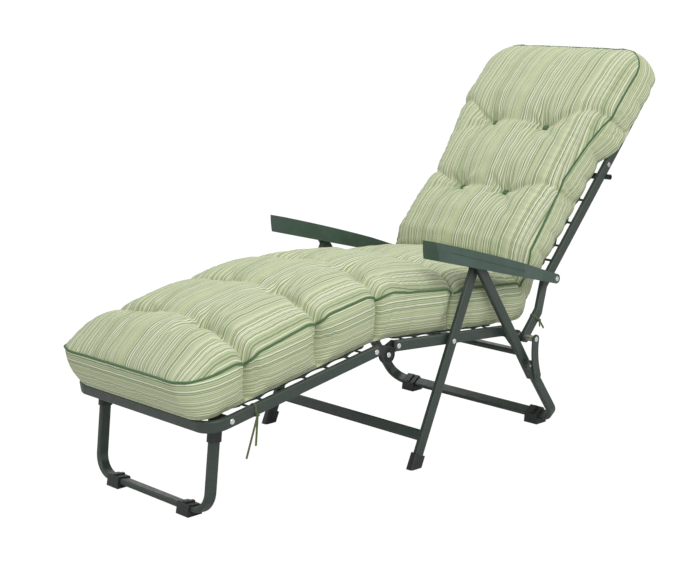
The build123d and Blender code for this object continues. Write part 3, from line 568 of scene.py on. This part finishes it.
def pad_mesh(pad, base, name):
    """A closed box of quads bent into the pad: the top cover, the bordered sides and ends, and the base."""
    alongs = samples_between(pad.start, pad.end, pad.step)
    shares = samples_between(-1.0, 1.0, 2.0 / pad.columns)
    levels = samples_between(0.0, 1.0, 1.0 / pad.rows)
    places = [base.at(along) for along in alongs]
    index = {}
    points = []
    last_i, last_j, last_k = len(alongs) - 1, len(shares) - 1, len(levels) - 1

    def vertex(key):
        """A point of the box's surface: i along, j across, k up."""
        if key in index:
            return index[key]
        i, j, k = key
        along, share, level = alongs[i], shares[j], levels[k]
        half = pad.half_width(along)
        base_half = pad.base_width(along)
        near = pad.near_row(along)
        dip = pad.seam_dip * exp(-((near / DIP_SPAN) ** 2))
        seam = pad.seam(along) - dip
        pitch = PLEAT_PITCH_LOW + PLEAT_PITCH_GAIN * level
        pleats = PLEAT_DEPTH * sin(2 * pi * near / pitch) * exp(-((near / (PLEAT_REACH * pitch)) ** 2))
        swell = pad.side_bulge * (1 - BULGE_PINCH * exp(-((near / BULGE_PINCH_SPAN) ** 2)))
        bulge = (swell + pleats) * sin(pi * level) ** BULGE_POWER
        groove_span = GROOVE_LOW + GROOVE_GAIN * level
        groove = pad.groove * exp(-((near / groove_span) ** 2)) * (1 - level) ** GROOVE_POWER
        side_half = base_half + (half - base_half) * level + bulge - groove
        if k == last_k:
            edge = max(0.0, (abs(share) - DIP_START) / DIP_WIDTH)
            up = pad.top(along, half * share, half) - dip * edge**2
            across = half * share
        elif k == 0:
            up = 0.0
            across = base_half * share
        else:
            up = seam * level
            across = side_half * share
        shift = 0.0
        for end, sign in pad.round_ends:
            inside = (along - end) * sign
            if inside < pad.corner:
                fade = (1 - inside / pad.corner) ** 2
                shift = -sign * fade * (pad.side_bulge * sin(pi * level) + pad.end_lean * level)
        (x, z), (dx, dz) = places[i]
        x += up * dx + shift * dz
        z += up * dz - shift * dx
        points.append(place((x, z), across))
        index[key] = len(points) - 1
        return index[key]

    faces = []
    loops = []

    def texture(key, kind):
        """A point's place in the map, by the kind of panel that it is on."""
        i, j, k = key
        along, share, level = alongs[i], shares[j], levels[k]
        across = pad.half_width(along) * share
        if kind == "top":
            return (along * MM, (across + TOP_MAP) * MM)
        if kind == "base":
            return (along * MM, (across + BASE_MAP) * MM)
        up = (SIDE_MAP + pad.seam(along) * level) * MM
        return (along * MM, up) if kind == "side" else (across * MM, up)

    def quad(keys, kind):
        faces.append([vertex(key) for key in keys])
        loops.append([texture(key, kind) for key in keys])

    for i in range(last_i):
        for j in range(last_j):
            quad(((i, j, last_k), (i + 1, j, last_k), (i + 1, j + 1, last_k), (i, j + 1, last_k)), "top")
            quad(((i, j + 1, 0), (i + 1, j + 1, 0), (i + 1, j, 0), (i, j, 0)), "base")
        for k in range(last_k):
            quad(((i, 0, k), (i + 1, 0, k), (i + 1, 0, k + 1), (i, 0, k + 1)), "side")
            quad(((i + 1, last_j, k), (i, last_j, k), (i, last_j, k + 1), (i + 1, last_j, k + 1)), "side")
    for j in range(last_j):
        for k in range(last_k):
            quad(((0, j + 1, k), (0, j, k), (0, j, k + 1), (0, j + 1, k + 1)), "end")
            quad(((last_i, j, k), (last_i, j + 1, k), (last_i, j + 1, k + 1), (last_i, j, k + 1)), "end")
    made = new_object(name, points, faces, "cushion")
    layer = made.data.uv_layers.new(name="UVMap")
    layer.data.foreach_set("uv", [value for loop in loops for pair in loop for value in pair])

    def held(key):
        """How firmly a point of the cover is held."""
        i, j, k = key
        if k == 0 or i == 0 and not pad.starts_free or i == last_i and not pad.ends_free:
            return HELD_FULLY
        along = alongs[i]
        if k < last_k:
            return HELD_LOW_SIDE if k == 1 else HELD_SIDE
        across = pad.half_width(along) * shares[j]
        if j in (0, last_j) or i in (0, last_i):
            return HELD_PIPING
        for row in pad.rows_of_tufts:
            if hypot(along - row[0], abs(across) - row[1]) < TUFT_HOLD:
                return HELD_FULLY
            if abs(along - pad.crease_at(row, across)) < CREASE_HOLD:
                return HELD_CREASE
        return HELD_TOP

    weights = {number: held(key) for key, number in index.items()}
    left = [index[(i, 0, last_k)] for i in range(last_i + 1)]
    right = [index[(i, last_j, last_k)] for i in range(last_i + 1)]
    first = [index[(0, j, last_k)] for j in range(last_j + 1)]
    last = [index[(last_i, j, last_k)] for j in range(last_j + 1)]
    if pad.starts_free:
        seam_line = left[::-1] + first[1:-1] + right
    else:
        seam_line = left + last[1:-1] + right[::-1]
    return made, weights, seam_line


# Cloth, piping in metres and buttons in millimetres about their middle
SETTLE_FRAMES = 16
SETTLE_REACH = 0.014
SETTLE_PRESSURE = 4.0
PIPING_RADIUS = 0.0033
PIPING_STEP = 0.006
CORD_SIDES = 8
BUTTON_LIFT = 0.0025
BUTTON_LEAST_UP = 0.02
BUTTON_REACH = 0.007
BUTTON_SIDES = 32
BUTTON_RIM = ((3.5, 5.0), (6.5, 4.2), (8.8, 2.8), (10.0, 1.0), (10.0, -0.6), (8.6, -2.4))
BUTTON_TOP = 5.2
BUTTON_BACK = -3.4


def settle(made, weights):
    """Lets the cover lie on its filling as cloth does, with every point kept within a short reach."""
    before = np.array([v.co[:] for v in made.data.vertices])
    group = made.vertex_groups.new(name="held")
    for number, weight in weights.items():
        group.add([number], weight, "REPLACE")
    cloth = made.modifiers.new("cloth", "CLOTH")
    values = cloth.settings
    values.quality = 6
    values.mass = 0.25
    values.tension_stiffness = 18.0
    values.compression_stiffness = 6.0
    values.shear_stiffness = 4.0
    values.bending_stiffness = 0.25
    values.vertex_group_mass = "held"
    values.pin_stiffness = 0.6
    values.shrink_min = -0.045
    values.use_pressure = True
    values.uniform_pressure_force = SETTLE_PRESSURE
    values.effector_weights.gravity = 0.0
    cloth.collision_settings.use_collision = False
    cloth.point_cache.frame_start = 1
    cloth.point_cache.frame_end = SETTLE_FRAMES
    scene = bpy.context.scene
    for number in range(1, SETTLE_FRAMES + 1):
        scene.frame_set(number)
    evaluated = made.evaluated_get(bpy.context.evaluated_depsgraph_get())
    after = np.array([v.co[:] for v in evaluated.data.vertices])
    made.modifiers.remove(cloth)
    made.vertex_groups.clear()
    scene.frame_set(1)
    moved = after - before
    size = np.linalg.norm(moved, axis=1, keepdims=True)
    moved *= SETTLE_REACH / (SETTLE_REACH + size)
    made.data.vertices.foreach_set("co", (before + moved).ravel())
    made.data.update()


def applied(made, modifier):
    """Puts a modifier into the mesh for good."""
    with bpy.context.temp_override(object=made, active_object=made, selected_objects=[made]):
        bpy.ops.object.modifier_apply(modifier=modifier.name)


def smoother(made):
    """One level of subdivision, in the mesh for good."""
    made.modifiers.new("finer", "SUBSURF").levels = 1
    applied(made, made.modifiers["finer"])
    made.data.shade_smooth()


def cord_along(name, points, radius, slot):
    """A round cord through points in metres, closed at its ends."""
    sides = CORD_SIDES
    ring_points = []
    faces = []
    count = len(points)
    before = None
    for number, point in enumerate(points):
        ahead = (points[min(number + 1, count - 1)] - points[max(number - 1, 0)]).normalized()
        if before is None:
            side = ahead.orthogonal().normalized()
        else:
            side = (before - ahead * before.dot(ahead)).normalized()
        before = side
        other = ahead.cross(side)
        for k in range(sides):
            a = 2 * pi * k / sides
            ring_points.append(point + radius * (cos(a) * side + sin(a) * other))
    for number in range(count - 1):
        for k in range(sides):
            a, b = number * sides + k, number * sides + (k + 1) % sides
            faces.append((a, b, b + sides, a + sides))
    faces.append(tuple(range(sides - 1, -1, -1)))
    faces.append(tuple(range((count - 1) * sides, count * sides)))
    return new_object(name, ring_points, faces, slot)


def spaced(points, gap):
    """Points at even distances along a line of points."""
    runs = [0.0]
    for start, end in zip(points, points[1:]):
        runs.append(runs[-1] + (end - start).length)
    count = max(2, int(runs[-1] / gap))
    wanted = np.linspace(0.0, runs[-1], count + 1)
    axes = [np.interp(wanted, runs, [p[axis] for p in points]) for axis in range(3)]
    return [Vector(values) for values in zip(*axes)]


def seat_of_button(cover, base, along, across):
    """The place of a button on the finished cover, and the direction that it faces."""
    (x, z), (dx, dz) = base.at(along)
    foot = place((x, z), across)
    facing = Vector((dx, 0.0, dz))
    best = 0.0
    for vertex in cover.data.vertices:
        away = vertex.co - foot
        up = away.dot(facing)
        if up > BUTTON_LEAST_UP and (away - up * facing).length < BUTTON_REACH:
            best = max(best, up)
    return foot + (best + BUTTON_LIFT) * facing, facing


def button(name, spot, facing):
    """A covered button: a low dome with a rounded rim, turned about the direction that it faces."""
    side = Vector((0.0, 1.0, 0.0))
    other = facing.cross(side)
    turns = BUTTON_SIDES
    points = [spot + facing * BUTTON_TOP * MM]
    for radius, up in BUTTON_RIM:
        for k in range(turns):
            a = 2 * pi * k / turns
            points.append(spot + (facing * up + radius * (cos(a) * side + sin(a) * other)) * MM)
    points.append(spot + facing * BUTTON_BACK * MM)
    faces = []
    rings = len(BUTTON_RIM)
    for k in range(turns):
        after = (k + 1) % turns
        faces.append((0, 1 + after, 1 + k))
        for ring in range(rings - 1):
            low, high = 1 + ring * turns, 1 + (ring + 1) * turns
            faces.append((low + k, low + after, high + after, high + k))
        last = 1 + (rings - 1) * turns
        faces.append((last + k, last + after, len(points) - 1))
    return new_object(name, points, faces, "trim")


# Base lines of the two halves of the cushion, on the canvas
PAD_LEVEL = 15.8
FOOT_PAD_START = -70.0
MID_SEAT = 229.0
SEAT_FOLD = 503.0
BACK_PAD_LENGTH = 742.0

foot_base = raised(FOOT_HINGE, FOOT_ANGLE, FOOT_PAD_START, PAD_LEVEL)
seat_base = raised(SEAT_RIVET, SEAT_FALL, 0.0, PAD_LEVEL)
mid_seat = raised(SEAT_RIVET, SEAT_FALL, MID_SEAT, PAD_LEVEL)
knee_point = crossing(foot_base, FOOT_ANGLE, seat_base, SEAT_FALL)
knee_along = length(foot_base, knee_point)
front_end = knee_along + length(knee_point, mid_seat)

front_base = Base([foot_base, knee_point], SEAT_FALL, 55.0)
front_pad = Pad(
    start=0.0,
    end=front_end,
    step=6.5,
    columns=70,
    rows=12,
    corner=58.0,
    end_rise=120.0,
    end_lean=30.0,
    round_ends=((0.0, 1),),
    starts_free=True,
    ends_free=False,
    widths=[(0.0, 276.0), (knee_along, 275.0), (knee_along + 120.0, 268.0), (front_end, 267.0)],
    base_widths=[(0.0, 264.0), (60.0, 254.0), (knee_along, 251.0), (front_end, 250.0)],
    pinch=30.0,
    pinch_span=9.0,
    groove=27.0,
    ruffle=2.0,
    rows_of_tufts=[
        (168.0, 88.0, -18.0),
        (422.0, 88.0, -32.0),
        (knee_along + 34.0, 88.0, -42.0),
        (front_end, 88.0, 0.0),
    ],
    inner_crease=6.0,
    outer_crease=30.0,
    crease_span=7.0,
    tuft_depth=30.0,
    tuft_span=32.0,
    seams=[
        (0.0, 107.0),
        (60.0, 112.0),
        (160.0, 116.0),
        (400.0, 134.0),
        (knee_along - 30.0, 134.0),
        (knee_along + 90.0, 120.0),
        (front_end, 116.0),
    ],
    crowns=[
        (0.0, 155.0),
        (60.0, 182.0),
        (120.0, 190.0),
        (400.0, 188.0),
        (knee_along, 182.0),
        (front_end, 183.0),
    ],
    seam_dip=7.0,
    side_bulge=8.0,
)

# Side view of the crease between seat and back, and of the base line that rounds up behind it
CREASE = (455.0, 480.0)
UNDER_TURN = (474.0, 320.2)
BACK_TURN_ALONG = -69.0
BACK_TURN = raised(BACK_BASE, BACK_ANGLE, BACK_TURN_ALONG, PAD_LEVEL)
turn_along = length(mid_seat, UNDER_TURN)
back_along = turn_along + length(UNDER_TURN, BACK_TURN)
fold_start = length(mid_seat, raised(SEAT_RIVET, SEAT_FALL, SEAT_FOLD, PAD_LEVEL))
back_zero = back_along - BACK_TURN_ALONG
rear_end = back_zero + BACK_PAD_LENGTH
rear_base = Base([mid_seat, UNDER_TURN, BACK_TURN], BACK_ANGLE, 22.0, (fold_start, back_along, CREASE))
rear_pad = Pad(
    start=0.0,
    end=rear_end,
    step=6.5,
    columns=70,
    rows=12,
    corner=98.0,
    end_rise=120.0,
    end_lean=0.0,
    round_ends=((rear_end, -1),),
    starts_free=False,
    ends_free=True,
    widths=[
        (0.0, 267.0),
        (140.0, 267.0),
        (210.0, 259.5),
        (back_along, 259.0),
        (back_zero + 11.0, 256.0),
        (back_zero + 126.0, 250.0),
        (back_zero + 243.0, 240.0),
        (back_zero + 370.0, 258.0),
        (back_zero + 500.0, 288.0),
        (rear_end, 290.0),
    ],
    base_widths=[
        (0.0, 250.0),
        (140.0, 250.0),
        (210.0, 245.0),
        (back_along, 247.0),
        (back_zero + 120.0, 254.0),
        (back_zero + 370.0, 256.0),
        (back_zero + 430.0, 302.0),
        (rear_end, 306.0),
    ],
    pinch=6.0,
    pinch_span=9.0,
    groove=14.0,
    ruffle=7.0,
    rows_of_tufts=[(0.0, 88.0, 0.0), (back_zero + 164.0, 83.0, 50.0), (back_zero + 408.0, 97.0, 75.0)],
    inner_crease=7.0,
    outer_crease=8.0,
    crease_span=8.0,
    tuft_depth=50.0,
    tuft_span=34.0,
    seams=[
        (0.0, 114.0),
        (fold_start, 112.0),
        (back_along, 46.0),
        (back_zero, 80.0),
        (back_zero + 400.0, 84.0),
        (rear_end, 72.0),
    ],
    crowns=[
        (0.0, 182.0),
        (fold_start - 60.0, 176.0),
        (fold_start - 20.0, 168.0),
        (fold_start, 157.0),
        (back_along, 92.0),
        (back_along + 18.0, 118.0),
        (back_along + 50.0, 140.0),
        (back_zero + 60.0, 152.0),
        (back_zero + 500.0, 150.0),
        (rear_end, 120.0),
    ],
    seam_dip=5.0,
    side_bulge=9.0,
)

# Where the cover's turn at a joint starts and ends, in the side view
KNEE_BLEND = ((-160.0, 400.0), (-40.0, 400.0))
HIP_BLEND = ((392.0, 400.0), (500.0, 445.0))

button_seats = []
for pad_name, pad, base, body_a, body_b, start, end, stands_for in (
    ("front", front_pad, front_base, "footrest", "seat", *KNEE_BLEND, ("footrest_cushion",)),
    ("rear", rear_pad, rear_base, "seat", "backrest", *HIP_BLEND, ("seat_cushion", "back_cushion")),
):
    cover, weights, seam_line = pad_mesh(pad, base, "cushion_" + pad_name + "_half")
    settle(cover, weights)
    seam_points = [cover.data.vertices[number].co.copy() for number in seam_line]
    smoother(cover)
    if pad_name == "rear":
        for along, across, lift in pad.rows_of_tufts[1:]:
            for side in (-1, 1):
                button_seats.append(seat_of_button(cover, base, along, side * across))
    piping = cord_along("piping_" + pad_name, spaced(seam_points, PIPING_STEP), PIPING_RADIUS, "trim")
    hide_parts(*stands_for)
    for piece in (cover, piping):
        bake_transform(piece)


for number, (spot, facing) in enumerate(button_seats, 1):
    disc = button(f"button_{number}", spot, facing)
    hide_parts("cushion_buttons")
    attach(disc, "backrest")


# Canvas slings: each drawn out by its elastics into points, hemmed, and sagging a little between them
SLING_LEVEL = 12.0
SLING_THICK = 2.0
SLING_HALF = 259.0
SLING_SCALLOP = 10.0
SCALLOP_ROWS = 10
SLING_COLUMNS = 24
SLING_CORNER = 14.0
CORNER_SHARE = 0.9
SLING_SAG = 3.0
SAG_FROM_END = 60.0
SAG_POWER = 4
HEM_THICK = 0.6
HEM_START = 0.9


def sling(node, at, angle, span, count):
    """A canvas with scalloped sides, in the place of its plain solid."""
    rows = count * SCALLOP_ROWS
    columns = SLING_COLUMNS
    points = []
    faces = []
    for layer in (0, 1):
        for i in range(rows + 1):
            along = span[0] + (span[1] - span[0]) * i / rows
            swing = abs(sin(pi * i / SCALLOP_ROWS))
            half = SLING_HALF - SLING_SCALLOP * swing
            end_gap = min(along - span[0], span[1] - along)
            half -= max(0.0, SLING_CORNER - end_gap) * CORNER_SHARE
            for j in range(columns + 1):
                share = -1 + 2 * j / columns
                sag = SLING_SAG * (1 - share**SAG_POWER) * min(1.0, end_gap / SAG_FROM_END)
                hem = HEM_THICK if abs(share) > HEM_START else 0.0
                up = SLING_LEVEL - sag + (SLING_THICK + hem) * layer
                points.append(place(raised(at, angle, along, up), half * share))
    size = (rows + 1) * (columns + 1)
    width = columns + 1
    for i in range(rows):
        for j in range(columns):
            a = i * width + j
            faces.append((a, a + width, a + width + 1, a + 1))
            faces.append((size + a, size + a + 1, size + a + width + 1, size + a + width))
    rim = [(i * width, (i + 1) * width) for i in range(rows)]
    rim += [(rows * width + j, rows * width + j + 1) for j in range(columns)]
    rim += [((i + 1) * width + columns, i * width + columns) for i in range(rows)]
    rim += [(j + 1, j) for j in range(columns)]
    for a, b in rim:
        faces.append((a, size + a, size + b, b))
    made = new_object(node + "_cloth", points, faces, "canvas")
    layer = made.data.uv_layers.new(name="UVMap")
    for loop in made.data.loops:
        point = made.data.vertices[loop.vertex_index].co
        layer.data[loop.index].uv = (point.x + point.z, point.y)
    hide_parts(node)
    return made


for node_name, body, at, angle, span, count in (
    ("footrest_sling", "footrest", FOOT_HINGE, FOOT_ANGLE, (36.0, 484.0), 6),
    ("seat_sling", "seat", SEAT_RIVET, SEAT_FALL, (10.0, 410.0), 5),
    ("back_sling", "backrest", BACK_BASE, BACK_ANGLE, (-6.0, 650.0), 8),
):
    canvas_piece = sling(node_name, at, angle, span, count)
    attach(canvas_piece, body)


# Floor, world and lamps: the shares of what the camera sees that are plain white, and of the world's light,
# then each lamp's name, place, size and power, and the place that the lamps face
FLOOR_REACH = 60.0
FLOOR_COLOUR = (0.80, 0.80, 0.80)
FLOOR_ROUGHNESS = 0.9
FLOOR_GLOW = 1.1
FLOOR_GLOW_SEEN = 0.9
WORLD_LIGHT = 0.45
WORLD_SEEN = 1.0
LAMPS = (
    ("key", (-2.2, -2.6, 3.4), 2.2, 95.0),
    ("fill", (2.6, -2.0, 2.4), 2.4, 30.0),
    ("top", (0.3, 1.6, 3.6), 2.6, 50.0),
)
LAMP_AIM = (0.0, 0.0, 0.45)


def lay_floor():
    """A white floor that keeps the shadow."""
    floor = bpy.data.objects.new("floor", bpy.data.meshes.new("floor"))
    reach = FLOOR_REACH
    corners = [(-reach, -reach, 0.0), (reach, -reach, 0.0), (reach, reach, 0.0), (-reach, reach, 0.0)]
    floor.data.from_pydata(corners, [], [(0, 1, 2, 3)])
    bpy.context.scene.collection.objects.link(floor)
    s = Shader("floor")
    s.finish(FLOOR_COLOUR, FLOOR_ROUGHNESS, specular=0.1)
    output = s.tree.nodes["Material Output"]
    emission = s.node("ShaderNodeEmission")
    emission.inputs["Strength"].default_value = FLOOR_GLOW
    mixer = s.node("ShaderNodeMixShader")
    light_path = s.node("ShaderNodeLightPath")
    s.link(s.math("MULTIPLY", light_path.outputs["Is Camera Ray"], FLOOR_GLOW_SEEN), mixer.inputs[0])
    s.link(s.principled.outputs[0], mixer.inputs[1])
    s.link(emission.outputs[0], mixer.inputs[2])
    s.link(mixer.outputs[0], output.inputs["Surface"])
    floor.data.materials.append(s.material)


def light():
    """A pale world, and plain soft lamps."""
    world = bpy.data.worlds.new("world")
    bpy.context.scene.world = world
    world.use_nodes = True
    tree = world.node_tree
    background = tree.nodes["Background"]
    background.inputs["Color"].default_value = (1.0, 1.0, 1.0, 1.0)
    path = tree.nodes.new("ShaderNodeLightPath")
    seen = tree.nodes.new("ShaderNodeMath")
    seen.operation = "MAXIMUM"
    tree.links.new(path.outputs["Is Camera Ray"], seen.inputs[0])
    tree.links.new(path.outputs["Is Glossy Ray"], seen.inputs[1])
    strength = tree.nodes.new("ShaderNodeMapRange")
    strength.inputs["To Min"].default_value = WORLD_LIGHT
    strength.inputs["To Max"].default_value = WORLD_SEEN
    tree.links.new(seen.outputs[0], strength.inputs["Value"])
    tree.links.new(strength.outputs[0], background.inputs["Strength"])
    for name, spot, size, power in LAMPS:
        lamp = bpy.data.lights.new(name, "AREA")
        lamp.size = size
        lamp.energy = power
        lamp_object = bpy.data.objects.new(name, lamp)
        lamp_object.location = spot
        aim = Vector(LAMP_AIM) - Vector(spot)
        lamp_object.rotation_euler = aim.to_track_quat("-Z", "Y").to_euler()
        bpy.context.scene.collection.objects.link(lamp_object)


def camera():
    """The photograph's camera: its place, its direction and its lens, with no roll and no shift."""
    data = bpy.data.cameras.new("camera")
    data.sensor_width = SENSOR_MM
    data.lens = CAMERA_FOCAL_PX * SENSOR_MM / IMAGE_WIDTH_PX
    made = bpy.data.objects.new("camera", data)
    e, a = CAMERA_ELEVATION, CAMERA_AZIMUTH
    ahead = Vector((-sin(a) * cos(e), cos(a) * cos(e), -sin(e)))
    right = Vector((cos(a), sin(a), 0.0))
    up = right.cross(ahead)
    rotation = Matrix((right, up, -ahead)).transposed()
    made.matrix_world = Matrix.Translation(CAMERA_PLACE) @ rotation.to_4x4()
    bpy.context.scene.collection.objects.link(made)
    bpy.context.scene.camera = made


lay_floor()
light()
camera()
bpy.context.scene.view_settings.view_transform = "Standard"
